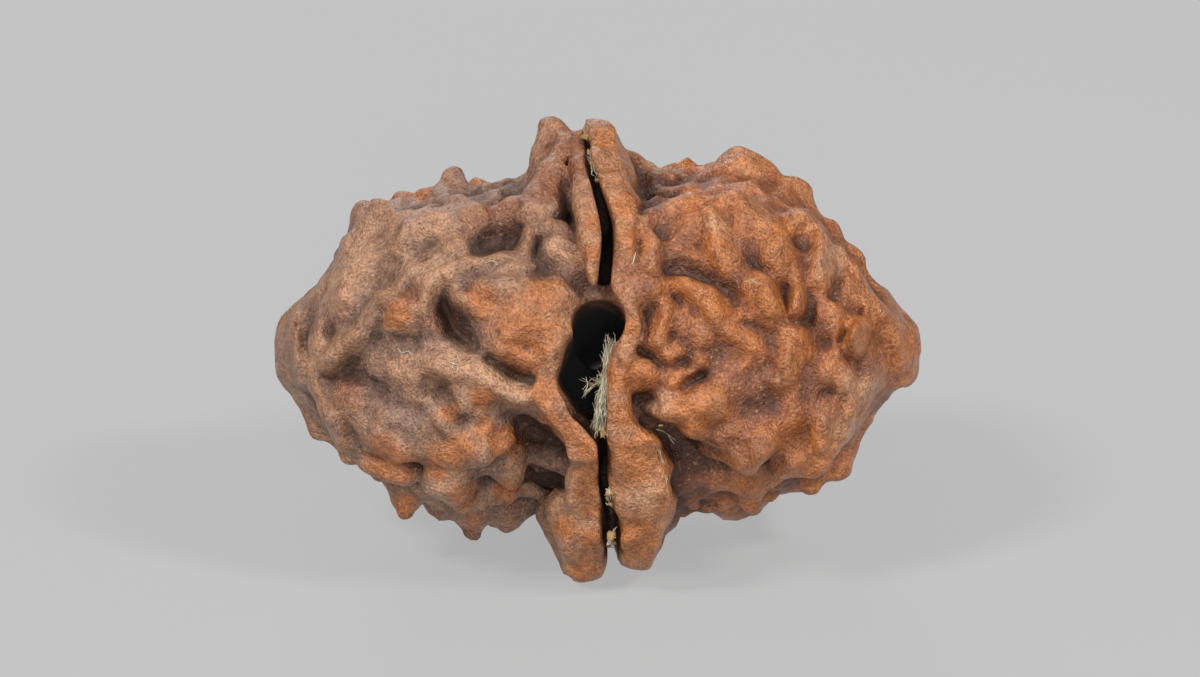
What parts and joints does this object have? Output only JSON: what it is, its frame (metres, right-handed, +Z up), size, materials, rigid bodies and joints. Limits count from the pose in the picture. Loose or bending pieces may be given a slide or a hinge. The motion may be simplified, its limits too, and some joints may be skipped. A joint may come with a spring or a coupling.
{
  "type": "rudraksha seed",
  "caption": "Dried two-faced rudraksha seed: rugged brown lobes, a split between two raised lips, and a string hole through both poles.",
  "frame": {"origin": "middle of the seed's footprint, on the surface it rests on", "axes": "+Z up, +X across both faces (longest side), +Y away from the viewer, with the string hole 20 degrees off it"},
  "size_m": [0.024, 0.0153, 0.0161],
  "materials": {
    "seed_wood": "dry, rugged seed shell: worn orange crests, dusty grey-brown hollows, faint waxy sheen"
  },
  "bodies": {
    "root": {"rudraksha_seed": "seed_wood"}
  },
  "joints": []
}
